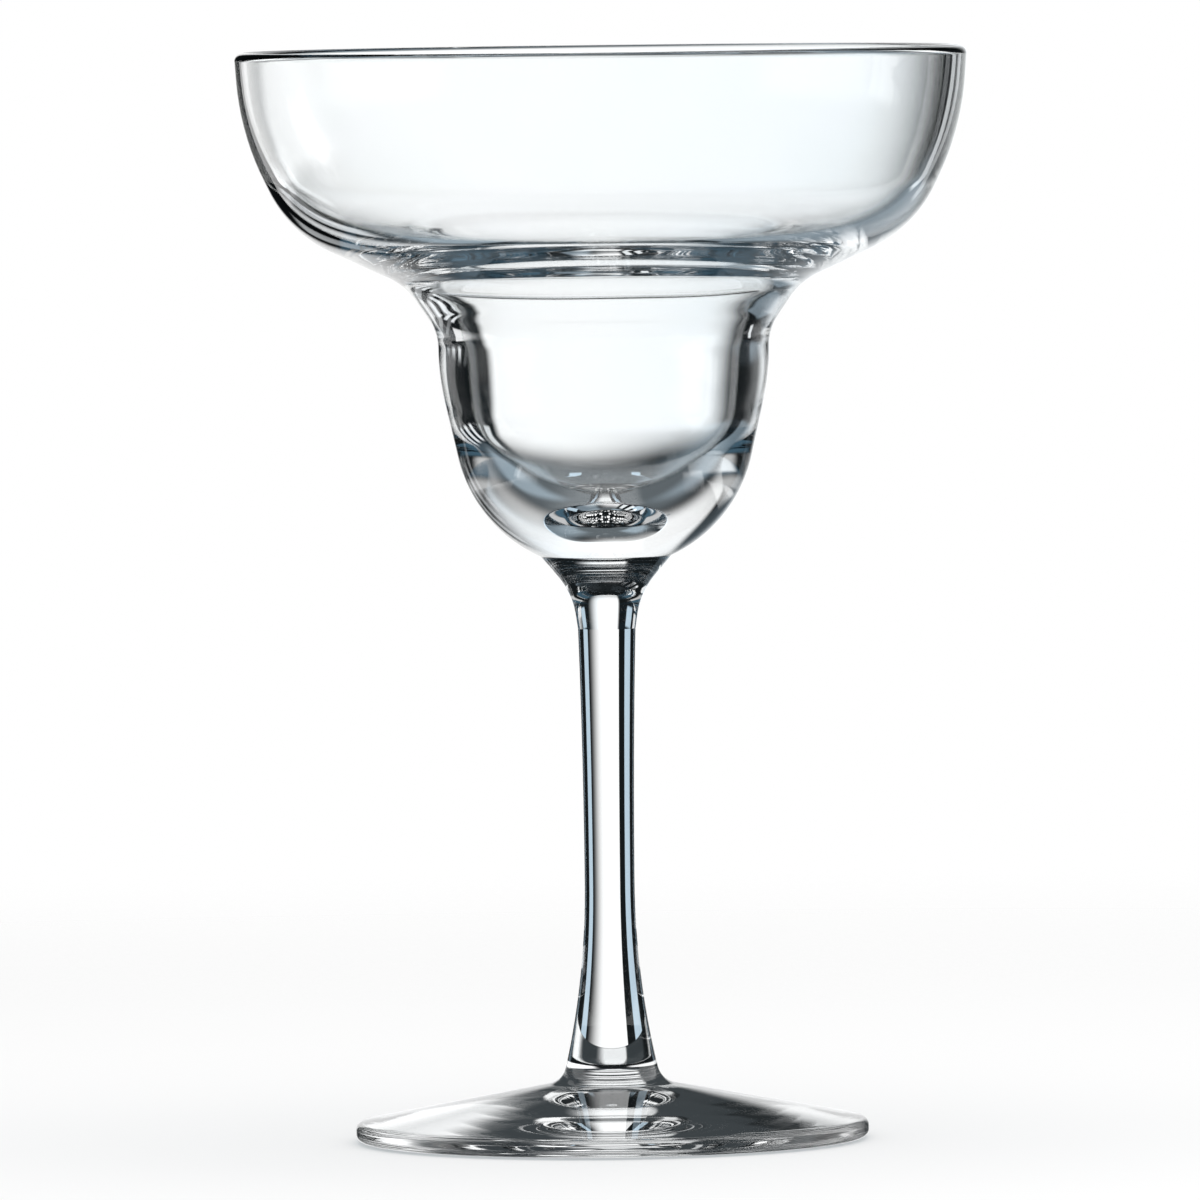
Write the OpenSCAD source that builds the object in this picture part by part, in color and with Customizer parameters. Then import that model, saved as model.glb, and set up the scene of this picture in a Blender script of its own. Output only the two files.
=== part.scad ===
// Margarita glass: a wide shallow bowl that steps down into a small cup, on a slim drawn
// stem and a broad foot. Three pieces of clear glass, joined end to end by two flat welds.
// Millimetres, +Z up. The origin is the centre of the circle that the foot rests on.

/* [Foot] */
// Outer diameter of the foot
foot_d = 80; // [60:1:100]
// Thickness of the foot at its edge
foot_edge_h = 2.7; // [2:0.1:5]
// Rounding of the foot's edge, above and below
foot_edge_r = 1.2; // [0.4:0.1:2]
// Width of the flat ring that the glass rests on
foot_rest_w = 2.4; // [1:0.1:6]
// Rise of the hollow under the foot
foot_hollow_h = 2; // [0.5:0.1:4]
// Height of the foot's top slope where it reaches the neck
foot_slope_h = 9; // [7:0.1:14]
// Rounding between the foot's top slope and its neck
foot_neck_r = 3.5; // [1:0.1:6]
// Height of the foot's neck, from its slope up to the weld
foot_neck_h = 3; // [1:0.1:8]

/* [Stem] */
// Length of the stem between its two welds
stem_h = 67.5; // [40:0.5:110]
// Diameter of the stem at the weld on the foot
stem_foot_d = 14; // [11:0.1:20]
// Diameter of the stem where it is slimmest
stem_slim_d = 7.8; // [6:0.1:10]
// Height of the slimmest place above the weld on the foot
stem_slim_h = 28; // [18:0.5:36]
// Diameter of the stem at the weld on the bowl
stem_bowl_d = 9; // [8:0.1:12]

/* [Cup, outside] */
// Height from the weld up to the neck under the cup
neck_h = 5.5; // [4:0.1:10]
// Diameter of the neck under the cup
neck_d = 10.6; // [9:0.1:14]
// Rounding of the neck under the cup
neck_r = 12; // [3:0.5:16]
// Height from the neck up to the corner where the cup starts
cup_seat_h = 5.8; // [4:0.1:8]
// Diameter of the corner where the cup starts
cup_seat_d = 20.4; // [16:0.2:26]
// Rounding of the corner where the cup starts
cup_seat_r = 1; // [0.4:0.1:3]
// Height from that corner up to the cup's base
cup_base_h = 4.7; // [3:0.1:8]
// Diameter across the corner of the cup's base
cup_base_d = 40.8; // [34:0.2:46]
// Rounding of the cup's base
cup_base_r = 24.5; // [8:0.5:28]
// Height from the cup's base up to its widest place
cup_side_h = 23.3; // [16:0.1:32]
// Diameter of the cup at its widest place
cup_d = 51.4; // [46:0.2:58]
// Rounding of the cup's side
cup_side_r = 38.5; // [15:0.5:60]
// Height from the cup's widest place up to the waist
waist_h = 7.1; // [4:0.1:12]
// Diameter of the waist between the cup and the bowl
waist_d = 51.6; // [47:0.2:58]
// Rounding of the waist
waist_r = 8; // [3:0.5:12]

/* [Bowl, outside] */
// Height from the waist up to the shoulder, where the wall turns out into the bowl
shoulder_h = 7.3; // [5:0.1:11]
// Diameter of the shoulder
shoulder_d = 61.6; // [57:0.2:68]
// Rounding of the shoulder
shoulder_r = 11; // [4:0.5:15]
// Height from the shoulder up to the belly of the bowl
belly_h = 8.2; // [6:0.1:12]
// Diameter across the corner of the belly
belly_d = 97.2; // [86:0.2:104]
// Rounding of the belly
belly_r = 20; // [8:0.5:26]
// Height from the belly up to the bend of the side
side_h = 15.6; // [11:0.1:26]
// Diameter of the bend of the side
side_d = 112.2; // [106:0.2:120]
// Rounding of the bend of the side
side_r = 43; // [15:1:80]
// Height from the bend of the side up to the rim
rim_h = 12.6; // [8:0.1:24]
// Outer diameter of the rim
rim_d = 114; // [108:0.5:124]

/* [Inside] */
// Thickness of the wall at the rim
rim_wall = 2.6; // [1.5:0.1:3.5]
// Distance inward from the side's outer bend to its inner bend
side_wall = 2.6; // [1.5:0.1:3.5]
// Height of the side's inner bend above its outer bend
side_rise = 0.7; // [0:0.1:2]
// Rounding inside the side
side_in_r = 41; // [15:1:80]
// Distance inward from the belly's outer corner to its inner corner
belly_wall = 2.1; // [1:0.1:3.5]
// Height of the belly's inner corner above its outer corner
belly_floor = 1.8; // [0.5:0.1:3]
// Rounding inside the belly
belly_in_r = 17.5; // [8:0.5:26]
// Distance inward from the shoulder to the mouth of the cup
mouth_wall = 2.8; // [1.5:0.1:5]
// Height of the cup's mouth above the shoulder
mouth_floor = 3.6; // [2:0.1:5]
// Rounding of the cup's mouth
mouth_r = 8; // [2:0.5:9]
// Distance inward from the waist to the throat of the cup
throat_wall = 3.6; // [2:0.1:6]
// Height of the cup's throat above the waist
throat_rise = 2.6; // [1:0.1:5]
// Rounding of the cup's throat
throat_r = 10; // [3:0.5:14]
// Distance inward from the cup's widest place to the corner of its floor
cup_wall = 7.1; // [5:0.1:10]
// Height of the cup's floor above the corner of its base
cup_floor = 2.2; // [1:0.1:6]
// Rounding of the cup's floor
cup_floor_r = 19; // [4:0.5:22]

/* [Hidden] */
$fn = 128;

// Angle that one step of a rounded corner turns through
arc_step_deg = 5;
// Number of steps along a drawn curve
curve_steps = 12;

// Clear glass, pale and slightly blue, as it looks on a white ground
glass_color = [0.86, 0.91, 0.93, 0.45];

// Heights, stacked from the resting plane up
weld_low_z = foot_slope_h + foot_neck_h;
slim_z = weld_low_z + stem_slim_h;
weld_high_z = weld_low_z + stem_h;
neck_z = weld_high_z + neck_h;
cup_seat_z = neck_z + cup_seat_h;
cup_base_z = cup_seat_z + cup_base_h;
cup_side_z = cup_base_z + cup_side_h;
waist_z = cup_side_z + waist_h;
shoulder_z = waist_z + shoulder_h;
belly_z = shoulder_z + belly_h;
side_z = belly_z + side_h;
rim_z = side_z + rim_h;
cup_floor_z = cup_base_z + cup_floor;

// Radii
foot_radius = foot_d / 2;
rest_in_radius = foot_radius - foot_edge_r - foot_rest_w;
weld_low_radius = stem_foot_d / 2;
weld_high_radius = stem_bowl_d / 2;
slim_radius = stem_slim_d / 2;
rim_radius = rim_d / 2;

// The flare of the stem runs on down the foot's neck in its own direction
flare_rate = end_rate(weld_low_radius - slim_radius, stem_slim_h);
foot_neck_radius = weld_low_radius + foot_neck_h * flare_rate;

// Radius of the circular arc that leaves a line square and moves off it by rise over run
function arc_radius(rise, run) = (run * run + rise * rise) / (2 * rise);

// Distance off the line after a length s of the run along such an arc
function arc_rise(rise, run, s) =
    let (r = arc_radius(rise, run))
    r - sqrt(r * r - s * s);

// Slope of such an arc at its far end
function end_rate(rise, run) =
    let (r = arc_radius(rise, run))
    run / (r - rise);

// Unit vector from point a towards point b
function toward(a, b) = (b - a) / norm(b - a);

// Angle by which the outline turns at corner p, coming from a and going on to b
function turn(a, p, b) =
    let (u = toward(a, p), v = toward(p, b))
    abs(atan2(cross(u, v), u * v));

// Length of straight edge that the rounding of corner i would use up on each side
function reach(pts, radii, i) =
    let (n = len(pts), p = pts[i % n])
    radii[i % n] * tan(turn(pts[(i + n - 1) % n], p, pts[(i + 1) % n]) / 2);

// The part of that length that fits once both edges are shared with the neighbouring corners
function fitted_reach(pts, radii, i) =
    let (
        n = len(pts),
        own = reach(pts, radii, i),
        before = norm(pts[i] - pts[(i + n - 1) % n]),
        after = norm(pts[(i + 1) % n] - pts[i])
    )
    own <= 0 ? 0 : own * min(
        1,
        before / (own + reach(pts, radii, i + n - 1)),
        after / (own + reach(pts, radii, i + 1))
    );

// Points of the circular arc that rounds corner p between the edges to a and b
function corner_arc(a, p, b, used) =
    let (
        angle = turn(a, p, b),
        u = toward(p, a),
        v = toward(p, b),
        radius = used / tan(angle / 2),
        centre = p + toward([0, 0], u + v) * radius / cos(angle / 2),
        from = p + u * used - centre,
        side = sign(cross(toward(a, p), v)),
        steps = max(1, ceil(angle / arc_step_deg))
    )
    [for (k = [0:steps])
        let (t = side * angle * k / steps)
        centre + [from.x * cos(t) - from.y * sin(t), from.x * sin(t) + from.y * cos(t)]];

// Closed outline with each corner rounded by its own radius, and 0 for a sharp corner
function rounded_outline(pts, radii) =
    [for (i = [0:len(pts) - 1])
        let (
            n = len(pts),
            used = fitted_reach(pts, radii, i)
        )
        each used > 0
            ? corner_arc(pts[(i + n - 1) % n], pts[i], pts[(i + 1) % n], used)
            : [pts[i]]];

// Foot: broad cone with a rounded edge, a neck at the top and a shallow hollow below
module foot() {
    hollow = [for (k = [0:curve_steps - 1])
        let (s = rest_in_radius * k / curve_steps)
        [s, foot_hollow_h - arc_rise(foot_hollow_h, rest_in_radius, s)]];
    rim = [
        [rest_in_radius, 0],
        [foot_radius, 0],
        [foot_radius, foot_edge_h],
        [foot_neck_radius, foot_slope_h],
        [weld_low_radius, weld_low_z],
        [0, weld_low_z]
    ];
    rim_rounding = [0, foot_edge_r, foot_edge_r, foot_neck_r, 0, 0];
    sharp = [for (p = hollow) 0];
    color(glass_color)
        rotate_extrude()
            polygon(rounded_outline(concat(hollow, rim), concat(sharp, rim_rounding)));
}

// Stem: drawn rod, slimmest below its middle, flared to both welds
module stem() {
    top_h = weld_high_z - slim_z;
    flare = [for (k = [curve_steps:-1:1])
        let (s = stem_slim_h * k / curve_steps)
        [slim_radius + arc_rise(weld_low_radius - slim_radius, stem_slim_h, s), slim_z - s]];
    taper = [for (k = [0:curve_steps])
        let (s = top_h * k / curve_steps)
        [slim_radius + arc_rise(weld_high_radius - slim_radius, top_h, s), slim_z + s]];
    color(glass_color)
        rotate_extrude()
            polygon(concat([[0, weld_low_z]], flare, taper, [[0, weld_high_z]]));
}

// Bowl: neck, cup and wide bowl in one wall, with a round bead for a rim
module bowl() {
    outside = [
        [0, weld_high_z],
        [weld_high_radius, weld_high_z],
        [neck_d / 2, neck_z],
        [cup_seat_d / 2, cup_seat_z],
        [cup_base_d / 2, cup_base_z],
        [cup_d / 2, cup_side_z],
        [waist_d / 2, waist_z],
        [shoulder_d / 2, shoulder_z],
        [belly_d / 2, belly_z],
        [side_d / 2, side_z],
        [rim_radius, rim_z]
    ];
    outside_rounding = [
        0, 0, neck_r, cup_seat_r, cup_base_r, cup_side_r,
        waist_r, shoulder_r, belly_r, side_r, rim_wall / 2
    ];
    inside = [
        [rim_radius - rim_wall, rim_z],
        [side_d / 2 - side_wall, side_z + side_rise],
        [belly_d / 2 - belly_wall, belly_z + belly_floor],
        [shoulder_d / 2 - mouth_wall, shoulder_z + mouth_floor],
        [waist_d / 2 - throat_wall, waist_z + throat_rise],
        [cup_d / 2 - cup_wall, cup_floor_z],
        [0, cup_floor_z]
    ];
    inside_rounding = [
        rim_wall / 2, side_in_r, belly_in_r, mouth_r, throat_r, cup_floor_r, 0
    ];
    color(glass_color)
        rotate_extrude()
            polygon(rounded_outline(
                concat(outside, inside),
                concat(outside_rounding, inside_rounding)
            ));
}

foot();
stem();
bowl();
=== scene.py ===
"""Margarita glass in clear hand-finished glass, lit as a bright-field studio picture.

The glass is three welded pieces, each a surface of revolution, with the small waves of hot-worked glass in
the bowl. Sizes are in millimetres in the classes and become metres when a mesh is made, and a name that ends
in _m is in metres. The heights of the welds and the rim come from the frame. +Z is up and the origin is the
centre of the foot's resting circle.
"""

import logging
import math
from dataclasses import dataclass
from enum import Enum, IntEnum
from typing import Any, Callable, Optional, Sequence, Union

import bpy
import numpy as np
from mathutils import Matrix, Vector

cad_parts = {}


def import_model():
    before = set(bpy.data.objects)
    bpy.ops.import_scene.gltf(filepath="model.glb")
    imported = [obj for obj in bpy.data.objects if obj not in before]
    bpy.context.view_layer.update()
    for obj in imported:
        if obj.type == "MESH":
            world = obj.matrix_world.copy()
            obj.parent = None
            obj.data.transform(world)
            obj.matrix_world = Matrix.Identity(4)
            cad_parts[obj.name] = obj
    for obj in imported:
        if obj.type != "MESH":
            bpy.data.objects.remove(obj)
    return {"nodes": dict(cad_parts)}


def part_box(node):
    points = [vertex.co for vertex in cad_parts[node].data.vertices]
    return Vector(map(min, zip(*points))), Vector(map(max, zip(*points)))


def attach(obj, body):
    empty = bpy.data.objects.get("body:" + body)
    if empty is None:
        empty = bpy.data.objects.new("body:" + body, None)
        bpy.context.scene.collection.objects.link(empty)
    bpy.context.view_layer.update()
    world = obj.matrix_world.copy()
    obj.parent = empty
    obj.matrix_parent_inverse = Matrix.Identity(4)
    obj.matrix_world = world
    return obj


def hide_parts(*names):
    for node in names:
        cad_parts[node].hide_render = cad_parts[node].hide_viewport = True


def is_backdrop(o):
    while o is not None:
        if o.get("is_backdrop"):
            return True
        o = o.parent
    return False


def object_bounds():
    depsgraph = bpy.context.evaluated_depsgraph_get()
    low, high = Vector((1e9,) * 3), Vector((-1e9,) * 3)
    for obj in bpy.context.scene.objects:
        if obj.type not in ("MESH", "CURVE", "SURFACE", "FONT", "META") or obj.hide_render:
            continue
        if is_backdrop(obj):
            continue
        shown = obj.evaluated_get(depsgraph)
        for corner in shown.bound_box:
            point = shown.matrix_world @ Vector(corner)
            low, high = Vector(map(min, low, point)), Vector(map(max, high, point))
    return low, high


LOG = logging.getLogger("margarita_glass")

MM = 0.001
PHOTO_SIDE_PX = 1200.0
GLASS_BOUNCES = 40
OTHER_BOUNCES = 24

Array = np.ndarray
Colour = tuple[float, float, float]
Value = Union["Socket", float, int]


# Node tools

class Socket:
    """A node's output, with Python's operators for sums on values."""

    def __init__(self, nodes: "NodeTree", link: Optional[bpy.types.NodeSocket]) -> None:
        """Wraps one output socket of a tree, or none where a node has no output."""
        self.nodes = nodes
        self.link = link

    def _math(self, operation: str, first: Value, second: Value = 0.0) -> "Socket":
        """Adds one Math node.

        Args:
            operation: the Math node's operation.
            first: its first value or link.
            second: its second value or link.

        Returns:
            The node's output.
        """
        return self.nodes.make("ShaderNodeMath", {"operation": operation}, [first, second])

    def __add__(self, other: Value) -> "Socket":
        """Sum."""
        return self._math("ADD", self, other)

    def __radd__(self, other: Value) -> "Socket":
        """Sum, with the socket on the right."""
        return self._math("ADD", other, self)

    def __sub__(self, other: Value) -> "Socket":
        """Difference."""
        return self._math("SUBTRACT", self, other)

    def __rsub__(self, other: Value) -> "Socket":
        """Difference, with the socket on the right."""
        return self._math("SUBTRACT", other, self)

    def __mul__(self, other: Value) -> "Socket":
        """Product."""
        return self._math("MULTIPLY", self, other)

    def __rmul__(self, other: Value) -> "Socket":
        """Product, with the socket on the right."""
        return self._math("MULTIPLY", other, self)

    def smooth(self, low: float, high: float) -> "Socket":
        """Smooth step from 0 at low to 1 at high."""
        return self.nodes.make(
            "ShaderNodeMapRange",
            {"interpolation_type": "SMOOTHSTEP"},
            {"Value": self, "From Min": low, "From Max": high},
        )

    def sine(self) -> "Socket":
        """Sine of a value in radians."""
        return self._math("SINE", self)

    def larger(self, other: Value) -> "Socket":
        """The larger of two values."""
        return self._math("MAXIMUM", self, other)


class NodeTree:
    """A material's or world's node tree, built from expressions."""

    def __init__(self, owner: Union[bpy.types.Material, bpy.types.World]) -> None:
        """Empties the owner's node tree, ready for new nodes.

        Args:
            owner: the material or world.
        """
        owner.use_nodes = True
        self.tree = owner.node_tree
        self.tree.nodes.clear()

    def make(
        self,
        kind: str,
        settings: Optional[dict[str, Any]] = None,
        inputs: Union[Sequence[Any], dict[str, Any], None] = None,
        output: Union[int, str] = 0,
    ) -> Socket:
        """Adds any node.

        Args:
            kind: the node's type name.
            settings: attributes of the node, set first.
            inputs: socket values or links, in order or by name.
            output: which output to return, by index or name.

        Returns:
            The chosen output, wrapped. It is empty for a node that ends a tree.
        """
        node = self.tree.nodes.new(kind)
        for name, value in (settings or {}).items():
            setattr(node, name, value)
        pairs = inputs.items() if isinstance(inputs, dict) else enumerate(inputs or [])
        for key, value in pairs:
            if isinstance(value, Socket):
                self.tree.links.new(value.link, node.inputs[key])
            else:
                node.inputs[key].default_value = value
        return Socket(self, node.outputs[output] if node.outputs else None)

    def colour(self, factor: Value, first: Any, second: Any) -> Socket:
        """Mixes two colours by a factor."""
        inputs = {"Factor": factor, "A": first, "B": second}
        return self.make("ShaderNodeMix", {"data_type": "RGBA"}, inputs, output="Result")

    def clear(self, tint: Colour = (1.0, 1.0, 1.0)) -> Socket:
        """A shader that light passes straight through."""
        return self.make("ShaderNodeBsdfTransparent", {}, {"Color": (*tint, 1.0)})

    def blend(self, factor: Value, first: Socket, second: Socket) -> Socket:
        """Mixes two shaders by a factor."""
        return self.make("ShaderNodeMixShader", {}, [factor, first, second])

    def surface(self, shader: Socket, kind: str = "ShaderNodeOutputMaterial") -> None:
        """Links a shader to the tree's output."""
        self.make(kind, {}, {"Surface": shader})


# Finishes

@dataclass(frozen=True)
class ClearGlass:
    """Clear soda-lime glass with a fire-polished skin.

    The skin has long faint waves left by the hot tools, and the colour drifts a little with them. Where the
    skin is seen at a grazing angle the colour falls to a dark tint: painted shade that draws the dark
    outlines which clear glass shows in a bright room. Shadow rays pass straight through with the shadow
    tint.
    """

    name: str
    tint: Colour = (0.985, 0.995, 1.0)
    drift_tint: Colour = (0.975, 0.99, 0.99)
    drift_span: tuple[float, float] = (0.3, 0.7)
    # Painted shade: the dark colour that the skin falls to at a grazing angle, for the glass's outlines.
    painted_outline_shade: Colour = (0.10, 0.105, 0.09)
    painted_outline_blend: float = 0.5
    painted_outline_span: tuple[float, float] = (0.72, 0.95)
    shadow_tint: Colour = (0.9, 0.92, 0.93)
    ior: float = 1.52
    skin_roughness: float = 0.0
    wave_scale: float = 55.0
    wave_detail: float = 1.0
    wave_height_m: float = 0.00002
    wave_strength: float = 0.15

    def material(self) -> bpy.types.Material:
        """Builds the material.

        Returns:
            The new material.
        """
        material = bpy.data.materials.new(self.name)
        nodes = NodeTree(material)
        place = nodes.make("ShaderNodeTexCoord", output="Object")
        waves = nodes.make(
            "ShaderNodeTexNoise",
            {},
            {"Vector": place, "Scale": self.wave_scale, "Detail": self.wave_detail},
        )
        bump = nodes.make(
            "ShaderNodeBump",
            {},
            {"Strength": self.wave_strength, "Distance": self.wave_height_m, "Height": waves},
        )
        glass = nodes.make(
            "ShaderNodeBsdfPrincipled",
            {"distribution": "GGX"},
            {
                "Base Color": self._colour(nodes, waves),
                "Roughness": self.skin_roughness,
                "IOR": self.ior,
                "Transmission Weight": 1.0,
                "Normal": bump,
            },
        )
        shadow_ray = nodes.make("ShaderNodeLightPath", output="Is Shadow Ray")
        nodes.surface(nodes.blend(shadow_ray, glass, nodes.clear(self.shadow_tint)))
        return material

    def _colour(self, nodes: NodeTree, waves: Socket) -> Socket:
        """The colour that drifts with the waves and, as painted shade, darkens toward a grazing angle.

        Args:
            nodes: the material's tree.
            waves: the height of the skin's waves, 0 to 1.

        Returns:
            The colour.
        """
        drift = nodes.colour(waves.smooth(*self.drift_span), (*self.tint, 1.0), (*self.drift_tint, 1.0))
        # Painted shade: toward a grazing view the colour darkens to draw the dark outlines.
        facing = nodes.make("ShaderNodeLayerWeight", {}, {"Blend": self.painted_outline_blend}, output="Facing")
        return nodes.colour(facing.smooth(*self.painted_outline_span), drift, (*self.painted_outline_shade, 1.0))


@dataclass(frozen=True)
class FusedFace:
    """The face inside a weld, where two pieces of glass are one and nothing shows."""

    name: str

    def material(self) -> bpy.types.Material:
        """Builds the material: light passes straight through.

        Returns:
            The new material.
        """
        material = bpy.data.materials.new(self.name)
        nodes = NodeTree(material)
        nodes.surface(nodes.clear())
        return material


# Shapes

ARC_STEP = math.radians(3.0)
ARC_POINTS = 41


@dataclass(frozen=True)
class Corner:
    """A corner of an outline, in millimetres: radius, height, radius of its rounding and step of its points.

    The step holds for the rounding and for the straight stretch that leads up to it.
    """

    r: float
    z: float
    rounding: float = 0.0
    step: float = 2.0


def rounded_outline(corners: Sequence[Corner]) -> Array:
    """Open outline through the corners, each rounded by a circular arc that touches both its edges.

    An arc uses rounding * tan(half the turn) of each edge, less where two arcs share a short edge.

    Args:
        corners: the outline's corners, in order.

    Returns:
        Points of the outline, one row of radius and height each, in millimetres.
    """
    points = np.array([(c.r, c.z) for c in corners])
    edges = np.diff(points, axis=0)
    lengths = np.hypot(*edges.T)
    along = edges / lengths[:, None]
    heading = np.unwrap(np.arctan2(along[:, 1], along[:, 0]))
    turns = np.concatenate([[0.0], np.diff(heading), [0.0]])
    turns = (turns + math.pi) % (2.0 * math.pi) - math.pi
    wanted = np.array([c.rounding for c in corners]) * np.abs(np.tan(turns / 2.0))
    room = np.minimum(1.0, lengths / np.maximum(wanted[:-1] + wanted[1:], 1e-9))
    used = wanted * np.minimum(np.concatenate([[1.0], room]), np.concatenate([room, [1.0]]))
    pieces = [points[:1]]
    for i in range(1, len(points)):
        step = corners[i].step
        arc = _corner_points(points[i], along[i - 1], turns[i], used[i], step)
        count = max(1, math.ceil(math.dist(pieces[-1][-1], arc[0]) / step))
        share = np.arange(1, count)[:, None] / count
        pieces.append(pieces[-1][-1] + share * (arc[0] - pieces[-1][-1]))
        pieces.append(arc)
    return np.concatenate([part for part in pieces if len(part)])


def _corner_points(corner: Array, before: Array, turn: float, used: float, step: float) -> Array:
    """Points of one rounded corner: the first point turned about the arc's centre in equal steps.

    Args:
        corner: the sharp corner.
        before: unit direction of the edge that comes in.
        turn: the signed angle to the edge that goes out.
        used: the length of each edge that the arc replaces.
        step: the longest step between points.

    Returns:
        The arc's points, or the corner itself where it is sharp.
    """
    if used <= 0.0:
        return corner[None, :]
    radius = used / abs(math.tan(turn / 2.0))
    side = math.copysign(1.0, turn)
    start = corner - before * used
    centre = start + side * radius * np.array([-before[1], before[0]])
    steps = max(2, math.ceil(abs(turn) / ARC_STEP), math.ceil(abs(turn) * radius / step))
    angles = np.linspace(0.0, turn, steps + 1)
    spoke = start - centre
    return centre + np.stack(
        [
            spoke[0] * np.cos(angles) - spoke[1] * np.sin(angles),
            spoke[0] * np.sin(angles) + spoke[1] * np.cos(angles),
        ],
        axis=1,
    )


def flare(rise: float, run: float, s: Array) -> Array:
    """Circular arc that starts along a line and has left it by rise after a length of run.

    The arc's radius is (run^2 + rise^2) / (2 rise), and it is radius - sqrt(radius^2 - s^2) off the line.

    Args:
        rise: distance off the line at the arc's end.
        run: length along the line at the arc's end.
        s: lengths along the line.

    Returns:
        The distance off the line at each length.
    """
    radius = (run * run + rise * rise) / (2.0 * rise)
    return radius - np.sqrt(radius * radius - s * s)


WaveField = Callable[[Array, Array, Array], Array]


class Slot(IntEnum):
    """The material slots of a piece."""

    GLASS = 0
    FUSED = 1


@dataclass
class Revolved:
    """A closed surface of revolution whose skin can carry waves.

    The point at outline place i and angle a is (r_i cos a, r_i sin a, z_i), moved along its normal by the
    wave field of r, z and a. The two ends of the outline lie on the axis and close the surface.
    """

    outline: Array
    sides: int
    waves: Optional[WaveField] = None

    def grid(self) -> tuple[Array, Array]:
        """Works out the rings of points between the two poles, and their normals.

        Returns:
            Points and unit normals, each of shape (rings, sides, 3), in millimetres.
        """
        r, z = self.outline[1:-1, 0:1], self.outline[1:-1, 1:2]
        a = np.arange(self.sides)[None, :] * (2.0 * math.pi / self.sides)
        nr, nz = self._outline_normals()
        shift = self.waves(r, z, a) if self.waves else np.zeros((len(r), self.sides))
        rr, zz = r + shift * nr, z + shift * nz
        points = np.stack([rr * np.cos(a), rr * np.sin(a), zz + 0.0 * a], axis=2)
        along = np.gradient(points, axis=0)
        around = (np.roll(points, -1, axis=1) - np.roll(points, 1, axis=1)) / 2.0
        normals = np.cross(around, along)
        normals /= np.linalg.norm(normals, axis=2, keepdims=True)
        return points, normals

    def _outline_normals(self) -> tuple[Array, Array]:
        """Outward unit normals of the outline's rings: each chord between neighbours, turned square.

        Returns:
            The radius column and the height column.
        """
        step = self.outline[2:] - self.outline[:-2]
        step /= np.hypot(*step.T)[:, None]
        return step[:, 1:2], -step[:, 0:1]

    def mesh(self, name: str, end_slots: tuple[Slot, Slot]) -> bpy.types.Mesh:
        """Builds the mesh, with smooth normals.

        Args:
            name: the mesh's name.
            end_slots: material slots of the discs at the outline's two ends.

        Returns:
            The new mesh, in metres.
        """
        points, normals = self.grid()
        rings, sides = points.shape[:2]
        ends = np.array([[0.0, 0.0, self.outline[0, 1]], [0.0, 0.0, self.outline[-1, 1]]])
        index = np.arange(rings * sides).reshape(rings, sides)
        right = np.roll(index, -1, axis=1)
        quads = np.stack([index[:-1], right[:-1], right[1:], index[1:]], axis=2).reshape(-1, 4)
        pole = rings * sides
        first = np.stack([np.full(sides, pole), right[0], index[0]], axis=1)
        last = np.stack([np.full(sides, pole + 1), index[-1], right[-1]], axis=1)
        mesh = bpy.data.meshes.new(name)
        vertices = np.concatenate([points.reshape(-1, 3), ends]) * MM
        mesh.from_pydata(vertices.tolist(), [], quads.tolist() + first.tolist() + last.tolist())
        slots = np.repeat([Slot.GLASS, *end_slots], [len(quads), sides, sides])
        mesh.polygons.foreach_set("material_index", slots)
        mesh.polygons.foreach_set("use_smooth", np.ones(len(slots), bool))
        mesh.update()
        end_normals = np.array([[0.0, 0.0, -1.0], [0.0, 0.0, 1.0]])
        mesh.normals_split_custom_set_from_vertices(
            np.concatenate([normals.reshape(-1, 3), end_normals]).tolist()
        )
        return mesh


@dataclass(frozen=True)
class Ripple:
    """Waves of hot-worked glass: a sum of cosines around and along the piece, with seeded phases."""

    height_mm: float
    lobes: tuple[int, int]
    rise_mm: float
    terms: int
    seed: int
    rise_shares: tuple[float, float] = (0.6, 1.8)

    def __call__(self, r: Array, z: Array, a: Array) -> Array:
        """Height of the waves at each ring and angle.

        Args:
            r: radius of each ring, as a column.
            z: height of each ring, as a column.
            a: angles, as a row.

        Returns:
            The waves' heights, in millimetres.
        """
        draw = np.random.default_rng(self.seed)
        total = np.zeros((len(z), a.shape[1]))
        for _ in range(self.terms):
            lobes = int(draw.integers(self.lobes[0], self.lobes[1] + 1))
            pitch = self.rise_mm * draw.uniform(*self.rise_shares)
            slant = (z - r) / pitch
            phase = draw.uniform(0.0, 2.0 * math.pi, 2)
            total += np.cos(lobes * a + slant * draw.choice([-1.0, 1.0]) + phase[0])
        return self.height_mm * total / math.sqrt(self.terms)


# Pieces of the glass

class Piece(Enum):
    """The three pieces of the glass, by the names of their nodes."""

    FOOT = "foot"
    STEM = "stem"
    BOWL = "bowl"


@dataclass(kw_only=True)
class GlassPiece:
    """What the three pieces share: the node that they stand for, a finish and a number of sides."""

    piece: Piece
    finish: ClearGlass
    sides: int = 288

    @property
    def base_z(self) -> float:
        """Height of the node's base in the frame, to the micrometre."""
        return round(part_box(self.piece.value)[0][2] / MM, 3)

    @property
    def top_z(self) -> float:
        """Height of the node's top in the frame, to the micrometre."""
        return round(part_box(self.piece.value)[1][2] / MM, 3)

    def place(self, surface: Revolved, end_slots: tuple[Slot, Slot]) -> bpy.types.Object:
        """Makes the object, dresses it and ties it to the frame.

        Args:
            surface: the piece's surface.
            end_slots: material slots of its two end discs.

        Returns:
            The new object.
        """
        node = self.piece.value
        name = node + "_glass"
        made = bpy.data.objects.new(name, surface.mesh(name, end_slots))
        bpy.context.scene.collection.objects.link(made)
        made.data.materials.append(self.finish.material())
        made.data.materials.append(FusedFace(node + "_fused_face").material())
        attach(made, "root")
        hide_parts(node)
        LOG.info("%s: %d faces", name, len(made.data.polygons))
        return made


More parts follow.
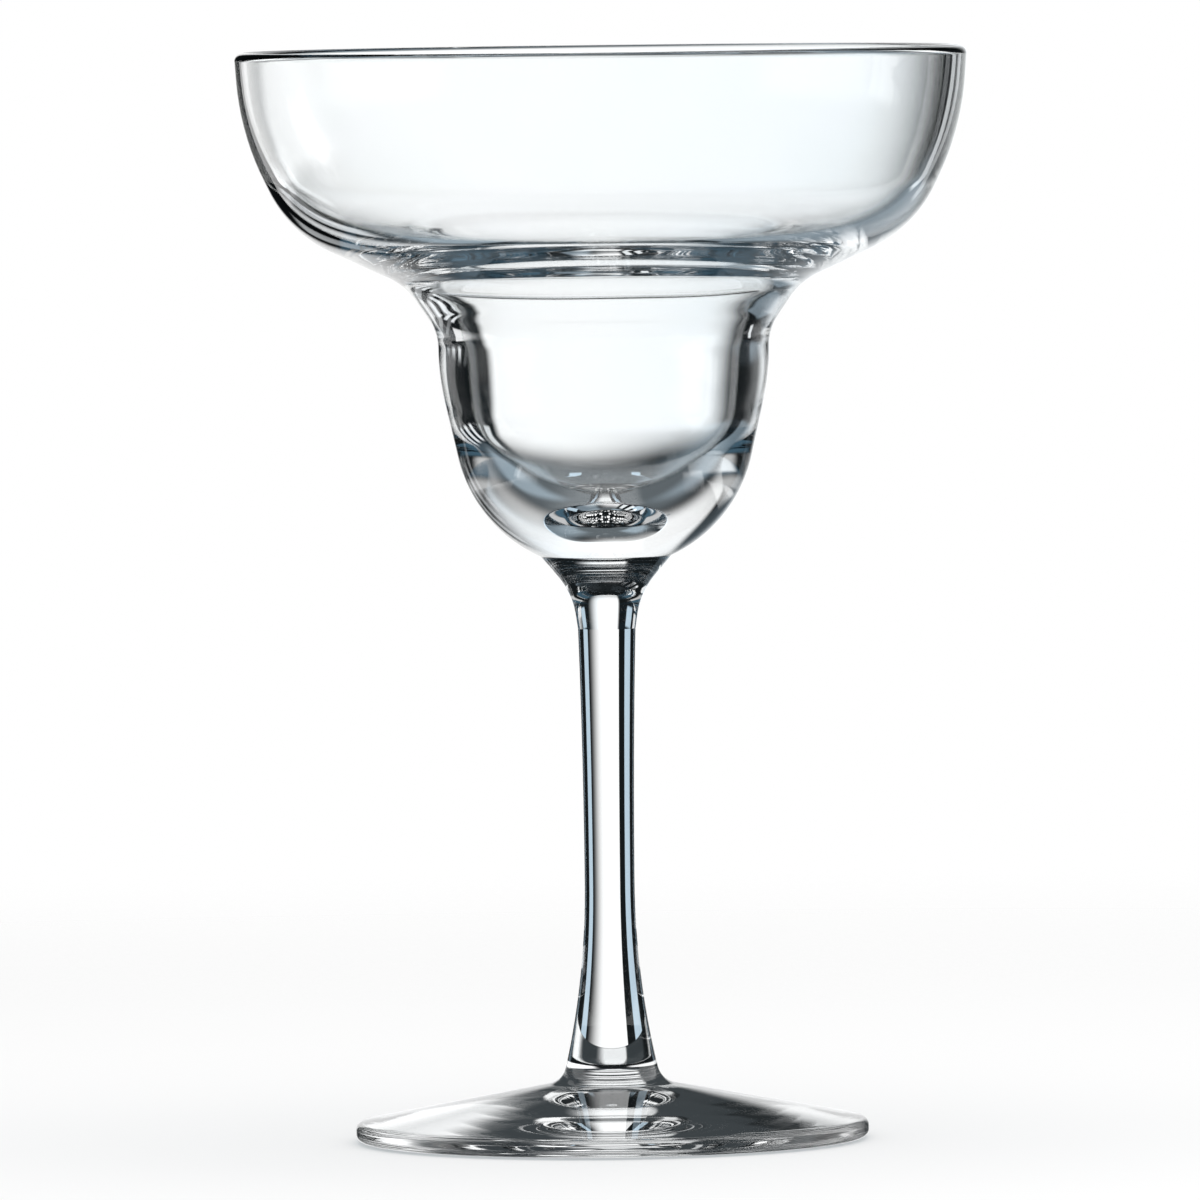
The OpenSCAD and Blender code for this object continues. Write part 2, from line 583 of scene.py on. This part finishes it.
@dataclass(kw_only=True)
class Foot(GlassPiece):
    """Broad cone with a rounded edge, a neck, a flat resting ring and a shallow hollow underneath."""

    piece: Piece = Piece.FOOT
    # The foot's painted outline shade is a lighter grey.
    finish: ClearGlass = ClearGlass("foot_clear_glass", painted_outline_shade=(0.6, 0.62, 0.62))
    radius: float = 40.0
    edge_h: float = 2.7
    edge_r: float = 1.2
    rest_w: float = 2.4
    hollow_h: float = 2.0
    slope_h: float = 9.0
    neck_r: float = 3.5
    neck_radius: float = 7.68
    weld_radius: float = 7.0

    def build(self) -> bpy.types.Object:
        """Builds the foot: the hollow's arc, the edge, the slope, the neck and the weld's disc.

        Returns:
            The new object.
        """
        weld_z = self.top_z
        rest_in = self.radius - self.edge_r - self.rest_w
        s = np.linspace(0.0, rest_in, ARC_POINTS)[:-1]
        hollow = np.stack([s, self.hollow_h - flare(self.hollow_h, rest_in, s)], axis=1)
        rim = rounded_outline(
            [
                Corner(rest_in, 0.0),
                Corner(self.radius, 0.0, self.edge_r),
                Corner(self.radius, self.edge_h, self.edge_r),
                Corner(self.neck_radius, self.slope_h, self.neck_r),
                Corner(self.weld_radius, weld_z),
                Corner(0.0, weld_z),
            ]
        )
        within_weld = (rim[:, 1] >= weld_z) & (rim[:, 0] < self.weld_radius) & (rim[:, 0] > 0.0)
        outline = np.concatenate([hollow, rim[~within_weld]])
        return self.place(Revolved(outline, self.sides), (Slot.GLASS, Slot.FUSED))


@dataclass(kw_only=True)
class Stem(GlassPiece):
    """Drawn rod, slimmest below its middle, flared to both welds."""

    piece: Piece = Piece.STEM
    finish: ClearGlass = ClearGlass("stem_clear_glass")
    sides: int = 160
    foot_radius: float
    slim_radius: float = 3.9
    slim_h: float = 28.0
    bowl_radius: float = 4.5

    def build(self) -> bpy.types.Object:
        """Builds the stem: two arcs that leave the slimmest place upright, and the discs of the welds.

        Returns:
            The new object.
        """
        slim_z = self.base_z + self.slim_h
        top_h = self.top_z - slim_z
        down = np.linspace(self.slim_h, 0.0, ARC_POINTS)[:-1]
        up = np.linspace(0.0, top_h, ARC_POINTS)
        to_foot = self.slim_radius + flare(self.foot_radius - self.slim_radius, self.slim_h, down)
        to_bowl = self.slim_radius + flare(self.bowl_radius - self.slim_radius, top_h, up)
        flared = np.stack([to_foot, slim_z - down], axis=1)
        tapered = np.stack([to_bowl, slim_z + up], axis=1)
        outline = np.concatenate([[[0.0, self.base_z]], flared, tapered, [[0.0, self.top_z]]])
        return self.place(Revolved(outline, self.sides), (Slot.FUSED, Slot.FUSED))


@dataclass(kw_only=True)
class Bowl(GlassPiece):
    """Neck, cup and wide bowl in one wall, with a round bead for a rim.

    The ring is the thick place between bowl and cup, and lean is where the bowl's inside goes off centre.
    """

    piece: Piece = Piece.BOWL
    finish: ClearGlass = ClearGlass("bowl_clear_glass")
    weld_radius: float
    outside: Sequence[Corner] = (
        Corner(5.3, 85.0, 12.0, 0.5),
        Corner(10.2, 90.8, 1.0, 0.5),
        Corner(20.4, 95.5, 24.5, 1.0),
        Corner(25.7, 118.8, 38.5),
        Corner(25.8, 125.9, 8.0),
        Corner(30.8, 133.2, 11.0, 0.5),
        Corner(48.6, 141.4, 20.0, 0.5),
        Corner(56.1, 157.0, 43.0),
    )
    rim_radius: float = 57.0
    rim_wall: float = 2.6
    inside: Sequence[Corner] = (
        Corner(53.5, 157.7, 41.0),
        Corner(46.5, 143.2, 17.5),
        Corner(28.0, 136.8, 8.0),
        Corner(22.2, 128.5, 10.0),
        Corner(18.6, 97.7, 19.0),
    )
    floor_z: float = 97.7
    ripple: Ripple = Ripple(height_mm=0.028, lobes=(3, 9), rise_mm=0.9, terms=8, seed=7)
    ring_radius: float = 35.0
    ring_reach: float = 4.5
    ring_z: float = 135.5
    ring_rise: float = 4.0
    lean: float = 0.55
    lean_from_z: float = 136.0
    lean_rise: float = 26.0

    def build(self) -> bpy.types.Object:
        """Builds the bowl: the weld's disc, the outside up to the rim's bead and the inside down again.

        Returns:
            The new object.
        """
        weld_z, rim_z = self.base_z, self.top_z
        bead = self.rim_wall / 2.0
        wall = rounded_outline(
            [
                Corner(self.weld_radius, weld_z),
                *self.outside,
                Corner(self.rim_radius, rim_z, bead),
                Corner(self.rim_radius - self.rim_wall, rim_z, bead),
                *self.inside,
                Corner(0.0, self.floor_z),
            ]
        )
        outline = np.concatenate([[[0.0, weld_z]], wall])
        return self.place(Revolved(outline, self.sides, self._waves), (Slot.FUSED, Slot.GLASS))

    def _waves(self, r: Array, z: Array, a: Array) -> Array:
        """Waves on the outside of the ring, and an inside that leans to one side in the upper bowl.

        The waves are kept to the ring by exp(-x^4) in radius and in height. The lean is lean * cos a, and
        it grows by a smooth step from lean_from_z up.

        Args:
            r: radius of each ring of points, as a column.
            z: height of each ring of points, as a column.
            a: angles, as a row.

        Returns:
            The shift of each point along its normal, in millimetres.
        """
        inside = np.arange(len(r))[:, None] > np.argmax(z)
        window = np.exp(-(((r - self.ring_radius) / self.ring_reach) ** 4))
        window = window * np.exp(-(((z - self.ring_z) / self.ring_rise) ** 4))
        bead = self.rim_wall / 2.0
        rise = np.clip((z - self.lean_from_z) / self.lean_rise, 0.0, 1.0)
        grown = np.clip((self.rim_radius - bead - r) / bead, 0.0, 1.0) * rise * rise * (3.0 - 2.0 * rise)
        return np.where(inside, self.lean * grown * np.cos(a), self.ripple(r, z, a) * window)


# Studio

class Glow(Enum):
    """The colours of the panels of light."""

    WHITE = (1.0, 1.0, 1.0)
    ICE = (0.95, 0.98, 1.0)
    PALE_BLUE = (0.55, 0.69, 0.80)
    GREY_BLUE = (0.80, 0.92, 1.0)
    SLATE_BLUE = (0.055, 0.115, 0.165)


def sheet_mesh(name: str, points: Array, closed: bool) -> bpy.types.Mesh:
    """Mesh of quads over a grid of points.

    Args:
        name: the mesh's name.
        points: the grid, of shape (rows, columns, 3), in metres.
        closed: whether the last row joins the first.

    Returns:
        The new mesh.
    """
    index = np.arange(points.shape[0] * points.shape[1]).reshape(points.shape[:2])
    if closed:
        index = np.concatenate([index, index[:1]])
    quads = np.stack([index[:-1, :-1], index[:-1, 1:], index[1:, 1:], index[1:, :-1]], axis=2)
    mesh = bpy.data.meshes.new(name)
    mesh.from_pydata(points.reshape(-1, 3).tolist(), [], quads.reshape(-1, 4).tolist())
    return mesh


def ball_points(azimuth: Array, elevation: Array) -> Array:
    """Points of the unit ball, (cos e sin a, cos e cos a, sin e) at azimuth a and elevation e in radians."""
    level = np.cos(elevation)
    return np.stack([level * np.sin(azimuth), level * np.cos(azimuth), np.sin(elevation)], axis=2)


def staged(mesh: bpy.types.Mesh) -> bpy.types.Object:
    """Adds a part of the studio that only the glass sees.

    Args:
        mesh: the part's mesh, with its material.

    Returns:
        The new object, which has the mesh's name.
    """
    part = bpy.data.objects.new(mesh.name, mesh)
    bpy.context.scene.collection.objects.link(part)
    part.visible_camera = False
    part.visible_diffuse = False
    part.visible_shadow = False
    part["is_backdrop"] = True
    return part


@dataclass(frozen=True)
class Panel:
    """A curved panel of light around the glass, seen in one piece of it and hidden from the camera.

    Its angles are in degrees: azimuth from straight behind the glass, positive to the camera's right, and
    elevation from a level that is a share of the glass's height. Its light fades in over the four widths of
    fade: left, right, low and high. Where it has slats, they are upright stripes of light across it.
    """

    name: str
    azimuth: tuple[float, float]
    elevation: tuple[float, float]
    colour: Glow
    strength: float
    fade: tuple[float, float, float, float]
    distance_m: float = 1.5
    level_share: float = 0.5
    slats: int = 0
    slat_edge: float = 0.5
    columns: int = 33
    rows: int = 17

    def build(
        self, height_m: float, rig: bpy.types.Object, lit: bpy.types.Collection
    ) -> bpy.types.Object:
        """Builds the panel, a stretch of a ball around the glass, and hangs it on the rig.

        Args:
            height_m: height of the glass.
            rig: the stand that turns to face the camera.
            lit: what the panel lights.

        Returns:
            The new object.
        """
        across, up = np.linspace(0.0, 1.0, self.columns), np.linspace(0.0, 1.0, self.rows)
        u, v = np.meshgrid(across, up, indexing="ij")
        azimuth = np.radians(self.azimuth[0] + (self.azimuth[1] - self.azimuth[0]) * u)
        elevation = np.radians(self.elevation[0] + (self.elevation[1] - self.elevation[0]) * v)
        centre = np.array([0.0, 0.0, height_m * self.level_share])
        mesh = sheet_mesh(self.name, self.distance_m * ball_points(azimuth, elevation) + centre, False)
        corners = np.empty(len(mesh.loops), np.int32)
        mesh.loops.foreach_get("vertex_index", corners)
        uv = np.stack([u, v], axis=2).reshape(-1, 2)[corners]
        mesh.uv_layers.new(name="UVMap").data.foreach_set("uv", uv.ravel())
        mesh.materials.append(self._material())
        panel = staged(mesh)
        panel.parent = rig
        panel.matrix_parent_inverse = rig.matrix_world.inverted()
        panel.light_linking.receiver_collection = lit
        LOG.info("panel %s", self.name)
        return panel

    def _material(self) -> bpy.types.Material:
        """Builds the panel's light, which adds to what is behind it and fades along its edges.

        Returns:
            The new material.
        """
        material = bpy.data.materials.new(self.name)
        nodes = NodeTree(material)
        uv = nodes.make("ShaderNodeTexCoord", output="UV")
        wide = self.azimuth[1] - self.azimuth[0]
        tall = self.elevation[1] - self.elevation[0]
        across = wide * nodes.make("ShaderNodeSeparateXYZ", {}, [uv], output="X")
        upward = tall * nodes.make("ShaderNodeSeparateXYZ", {}, [uv], output="Y")
        left, right, low, high = self.fade
        share = across.smooth(0.0, left) * (1.0 - across.smooth(wide - right, wide))
        share = share * upward.smooth(0.0, low) * (1.0 - upward.smooth(tall - high, tall))
        if self.slats:
            wave = (across * (2.0 * math.pi * self.slats / wide)).sine()
            share = share * wave.smooth(-self.slat_edge, self.slat_edge)
        clear = nodes.clear()
        inputs = {"Color": (*self.colour.value, 1.0), "Strength": self.strength}
        light = nodes.make("ShaderNodeEmission", {}, inputs)
        lit = nodes.make("ShaderNodeAddShader", {}, [clear, light])
        nodes.surface(nodes.blend(share, clear, lit))
        return material


@dataclass
class PhotoCamera:
    """The camera of the photograph: far off, a little above the rim, with a slight roll."""

    distance_mm: float = 2500.0
    height_mm: float = 196.1
    px_per_mm: float = 6.43
    aim_mm: tuple[float, float] = (-1.0, 83.9)
    roll: float = 0.0115
    sensor_mm: float = 36.0
    sight_m: float = 20.0

    def build(self) -> bpy.types.Object:
        """Builds the camera and makes it the scene's own.

        Returns:
            The new object.
        """
        data = bpy.data.cameras.new("photo_camera")
        camera = bpy.data.objects.new("photo_camera", data)
        bpy.context.scene.collection.objects.link(camera)
        place = Vector((0.0, -self.distance_mm, self.height_mm)) * MM
        aim = Vector((self.aim_mm[0], 0.0, self.aim_mm[1])) * MM
        ahead = (aim - place).normalized()
        level = ahead.cross(Vector((0.0, 0.0, 1.0))).normalized()
        upright = level.cross(ahead)
        right = level * math.cos(self.roll) - upright * math.sin(self.roll)
        up = level * math.sin(self.roll) + upright * math.cos(self.roll)
        turn = Matrix((right, up, -ahead)).transposed()
        camera.matrix_world = Matrix.Translation(place) @ turn.to_4x4()
        depth_mm = (aim - place).length / MM
        data.sensor_width = self.sensor_mm
        data.lens = self.px_per_mm * depth_mm / PHOTO_SIDE_PX * self.sensor_mm
        data.clip_end = self.sight_m
        bpy.context.scene.camera = camera
        return camera


@dataclass
class Studio:
    """White room with a pale table, a dark surround that only the glass sees, and panels for each piece.

    The panels stand for what the glass mirrors and bends in the photograph: a backdrop behind it, cards and
    lights beside it, and the table below.
    """

    floor_radius_m: float = 0.7
    floor_drop_m: float = 0.0003
    floor_colour: Colour = (0.93, 0.93, 0.93)
    floor_fade_shares: tuple[float, float] = (0.4, 0.98)
    floor_rings: int = 9
    floor_sides: int = 96
    ambient: float = 0.3
    surround_m: float = 2.0
    surround_colour: Colour = (0.008, 0.010, 0.011)
    surround_sides: int = 48
    surround_rings: int = 25
    lamp_size_m: float = 3.0
    lamp_power_w: float = 50.0
    lamp_place_m: tuple[float, float, float] = (0.2, -0.3, 2.0)
    lamp_turn: tuple[float, float, float] = (-0.15, 0.1, 0.0)
    bowl_panels: Sequence[Panel] = (
        Panel(
            "bowl_backdrop", (-17.5, 9.0), (-36.0, 62.0), Glow.WHITE, 1.2, (4.0, 13.0, 22.0, 36.0),
            distance_m=0.5,
        ),
        Panel(
            "bowl_backdrop_right", (-4.0, 27.0), (-30.0, 62.0), Glow.ICE, 1.2, (13.0, 18.0, 27.0, 36.0),
            distance_m=0.5,
        ),
        Panel(
            "bowl_left_blind", (-46.0, -14.0), (-30.0, -6.0), Glow.ICE, 1.0, (2.0, 2.0, 5.0, 4.0),
            distance_m=0.5, slats=3,
        ),
        Panel(
            "bowl_left_card", (-105.0, -51.5), (-14.0, 14.0), Glow.WHITE, 1.0, (12.0, 1.0, 3.0, 4.0),
            distance_m=0.11, level_share=0.85,
        ),
        Panel(
            "bowl_right_card", (52.0, 57.0), (-14.0, 14.0), Glow.ICE, 0.9, (1.0, 1.0, 3.0, 4.0),
            distance_m=0.11, level_share=0.85,
        ),
        Panel("bowl_table_right", (6.0, 40.0), (-50.0, -6.0), Glow.PALE_BLUE, 0.35, (9.0, 5.0, 10.0, 6.0)),
        Panel("bowl_table_left", (-34.0, -8.0), (-54.0, -33.0), Glow.PALE_BLUE, 0.45, (6.0, 6.0, 8.0, 6.0)),
        Panel(
            "bowl_table_near", (-40.0, 40.0), (-80.0, -26.0), Glow.GREY_BLUE, 0.16, (6.0, 6.0, 10.0, 12.0)
        ),
        Panel("bowl_left_light", (-135.0, -72.0), (-14.0, 11.0), Glow.WHITE, 0.6, (16.0, 16.0, 8.0, 7.0)),
        Panel("bowl_right_light", (72.0, 135.0), (-14.0, 11.0), Glow.WHITE, 0.6, (16.0, 16.0, 8.0, 7.0)),
        Panel("bowl_left_gleam", (-70.0, -52.0), (0.0, 16.0), Glow.WHITE, 1.0, (2.0, 2.0, 3.0, 3.0)),
        Panel("bowl_right_gleam", (44.0, 62.0), (8.0, 28.0), Glow.WHITE, 1.0, (2.0, 2.0, 4.0, 4.0)),
        Panel("bowl_front", (55.0, 305.0), (7.0, 66.0), Glow.SLATE_BLUE, 1.0, (14.0, 14.0, 5.0, 20.0)),
        Panel(
            "neck_left", (-31.0, -18.0), (-12.0, 15.0), Glow.PALE_BLUE, 1.0, (1.5, 1.5, 2.0, 5.0),
            distance_m=0.016,
        ),
        Panel(
            "neck_right", (20.5, 30.5), (-12.0, 15.0), Glow.PALE_BLUE, 1.0, (1.5, 1.5, 2.0, 5.0),
            distance_m=0.016,
        ),
    )
    stem_panels: Sequence[Panel] = (
        Panel("stem_backdrop", (-17.5, 30.0), (-60.0, 60.0), Glow.WHITE, 1.12, (0.5, 22.0, 10.0, 10.0)),
        Panel("stem_left", (-45.0, -28.0), (-60.0, 60.0), Glow.PALE_BLUE, 1.0, (1.0, 1.0, 10.0, 10.0)),
        Panel("stem_right", (31.0, 44.0), (-60.0, 60.0), Glow.PALE_BLUE, 1.0, (1.0, 1.0, 10.0, 10.0)),
    )
    foot_panels: Sequence[Panel] = (
        Panel("foot_backdrop", (-15.0, 16.0), (-29.0, 13.0), Glow.WHITE, 1.0, (2.0, 10.0, 8.0, 7.0)),
        Panel("foot_table", (-17.0, 15.0), (-64.0, -24.0), Glow.WHITE, 1.0, (3.0, 9.0, 6.0, 6.0)),
        Panel("foot_left_light", (-110.0, -57.0), (-75.0, 75.0), Glow.WHITE, 1.0, (10.0, 12.0, 10.0, 10.0)),
        Panel("foot_right_light", (35.0, 110.0), (-75.0, 75.0), Glow.WHITE, 1.4, (15.0, 10.0, 10.0, 10.0)),
        Panel("foot_grey", (-45.0, 42.0), (-75.0, 60.0), Glow.GREY_BLUE, 0.05, (4.0, 4.0, 5.0, 8.0)),
        Panel("foot_overhead", (-46.0, 24.0), (32.0, 44.0), Glow.WHITE, 0.5, (6.0, 6.0, 3.0, 3.0)),
    )

    def build(
        self, camera: bpy.types.Object, height_m: float, glass: dict[Piece, bpy.types.Object]
    ) -> None:
        """Builds the room, the surround, the floor, the lamp and the panels.

        Args:
            camera: the camera, which the panels turn with.
            height_m: height of the glass.
            glass: the pieces of the glass.
        """
        self._room()
        self._surround()
        self._floor()
        self._lamp()
        rig = self._rig(camera, height_m)
        panels = {Piece.BOWL: self.bowl_panels, Piece.STEM: self.stem_panels, Piece.FOOT: self.foot_panels}
        for piece, own_panels in panels.items():
            lit = bpy.data.collections.new(piece.value + "_lit")
            lit.objects.link(glass[piece])
            for panel in own_panels:
                panel.build(height_m, rig, lit)

    def _rig(self, camera: bpy.types.Object, height_m: float) -> bpy.types.Object:
        """A stand in the middle of the glass that turns to face the camera.

        It makes the light the same from any side.

        Args:
            camera: the camera.
            height_m: height of the glass.

        Returns:
            The new empty object.
        """
        rig = bpy.data.objects.new("light_rig", None)
        bpy.context.scene.collection.objects.link(rig)
        rig.location = (0.0, 0.0, height_m / 2.0)
        facing = rig.constraints.new("TRACK_TO")
        facing.target = camera
        facing.track_axis = "TRACK_NEGATIVE_Y"
        facing.up_axis = "UP_Z"
        bpy.context.view_layer.update()
        return rig

    def _room(self) -> None:
        """White for the camera and in gloss and glass, and a plain soft light for everything else."""
        world = bpy.data.worlds.new("studio_room")
        bpy.context.scene.world = world
        nodes = NodeTree(world)
        seen = nodes.make("ShaderNodeLightPath", output="Is Camera Ray")
        seen = seen.larger(nodes.make("ShaderNodeLightPath", output="Is Glossy Ray"))
        seen = seen.larger(nodes.make("ShaderNodeLightPath", output="Is Transmission Ray"))
        level = self.ambient + (1.0 - self.ambient) * seen
        inputs = {"Color": (*Glow.WHITE.value, 1.0), "Strength": level}
        nodes.surface(nodes.make("ShaderNodeBackground", {}, inputs), "ShaderNodeOutputWorld")

    def _surround(self) -> bpy.types.Object:
        """A nearly black ball around the studio, which only the glass sees.

        Returns:
            The new object.
        """
        azimuth = np.arange(self.surround_sides) * (2.0 * math.pi / self.surround_sides)
        elevation = np.linspace(-math.pi / 2.0, math.pi / 2.0, self.surround_rings)
        points = self.surround_m * ball_points(*np.meshgrid(azimuth, elevation, indexing="ij"))
        mesh = sheet_mesh("dark_surround", points, True)
        material = bpy.data.materials.new("dark_surround")
        nodes = NodeTree(material)
        inputs = {"Color": (*self.surround_colour, 1.0), "Strength": 1.0}
        nodes.surface(nodes.make("ShaderNodeEmission", {}, inputs))
        mesh.materials.append(material)
        return staged(mesh)

    def _floor(self) -> bpy.types.Object:
        """A pale round table that fades out at its edge: the points (r cos a, r sin a) at one height.

        Returns:
            The new object.
        """
        angles = np.arange(self.floor_sides) * (2.0 * math.pi / self.floor_sides)
        radii = np.linspace(0.0, self.floor_radius_m, self.floor_rings)
        a, r = np.meshgrid(angles, radii, indexing="ij")
        points = np.stack([r * np.cos(a), r * np.sin(a), np.full(r.shape, -self.floor_drop_m)], axis=2)
        mesh = sheet_mesh("table_top", points, True)
        mesh.materials.append(self._floor_material())
        floor = bpy.data.objects.new("table_top", mesh)
        bpy.context.scene.collection.objects.link(floor)
        floor.visible_transmission = False
        floor.visible_glossy = False
        floor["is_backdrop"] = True
        return floor

    def _floor_material(self) -> bpy.types.Material:
        """Builds the table's pale matt finish, which fades out toward its edge.

        Returns:
            The new material.
        """
        material = bpy.data.materials.new("table_top")
        nodes = NodeTree(material)
        place = nodes.make("ShaderNodeTexCoord", output="Object")
        reach = nodes.make("ShaderNodeVectorMath", {"operation": "LENGTH"}, [place], output="Value")
        top = nodes.make("ShaderNodeBsdfDiffuse", {}, {"Color": (*self.floor_colour, 1.0)})
        fade_from, fade_to = self.floor_fade_shares
        edge = reach.smooth(self.floor_radius_m * fade_from, self.floor_radius_m * fade_to)
        nodes.surface(nodes.blend(edge, top, nodes.clear()))
        return material

    def _lamp(self) -> bpy.types.Object:
        """A soft lamp overhead, which lights the table and isn't seen in the glass.

        Returns:
            The new object.
        """
        data = bpy.data.lights.new("overhead_lamp", "AREA")
        data.shape = "DISK"
        data.size = self.lamp_size_m
        data.energy = self.lamp_power_w
        lamp = bpy.data.objects.new("overhead_lamp", data)
        bpy.context.scene.collection.objects.link(lamp)
        lamp.location = self.lamp_place_m
        lamp.rotation_euler = self.lamp_turn
        lamp.visible_glossy = False
        lamp.visible_transmission = False
        lamp.visible_camera = False
        return lamp


def set_light_paths(scene: bpy.types.Scene) -> None:
    """Shows colours as they are written, and lets light cross many glass walls without caustics.

    Args:
        scene: the scene.
    """
    scene.view_settings.view_transform = "Standard"
    scene.cycles.max_bounces = GLASS_BOUNCES
    scene.cycles.transmission_bounces = GLASS_BOUNCES
    scene.cycles.glossy_bounces = OTHER_BOUNCES
    scene.cycles.transparent_max_bounces = OTHER_BOUNCES
    scene.cycles.caustics_reflective = False
    scene.cycles.caustics_refractive = False


def main() -> None:
    """Loads the frame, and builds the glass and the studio."""
    logging.basicConfig(level=logging.INFO, format="%(message)s")
    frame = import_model()
    cad_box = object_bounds()
    LOG.info("frame: %d nodes", len(frame["nodes"]))
    set_light_paths(bpy.context.scene)
    foot = Foot()
    stem = Stem(foot_radius=foot.weld_radius)
    bowl = Bowl(weld_radius=stem.bowl_radius)
    glass = {part.piece: part.build() for part in (foot, stem, bowl)}
    camera = PhotoCamera().build()
    low, high = cad_box
    Studio().build(camera, high[2] - low[2], glass)
    bpy.context.view_layer.update()


if __name__ == "__main__":
    main()
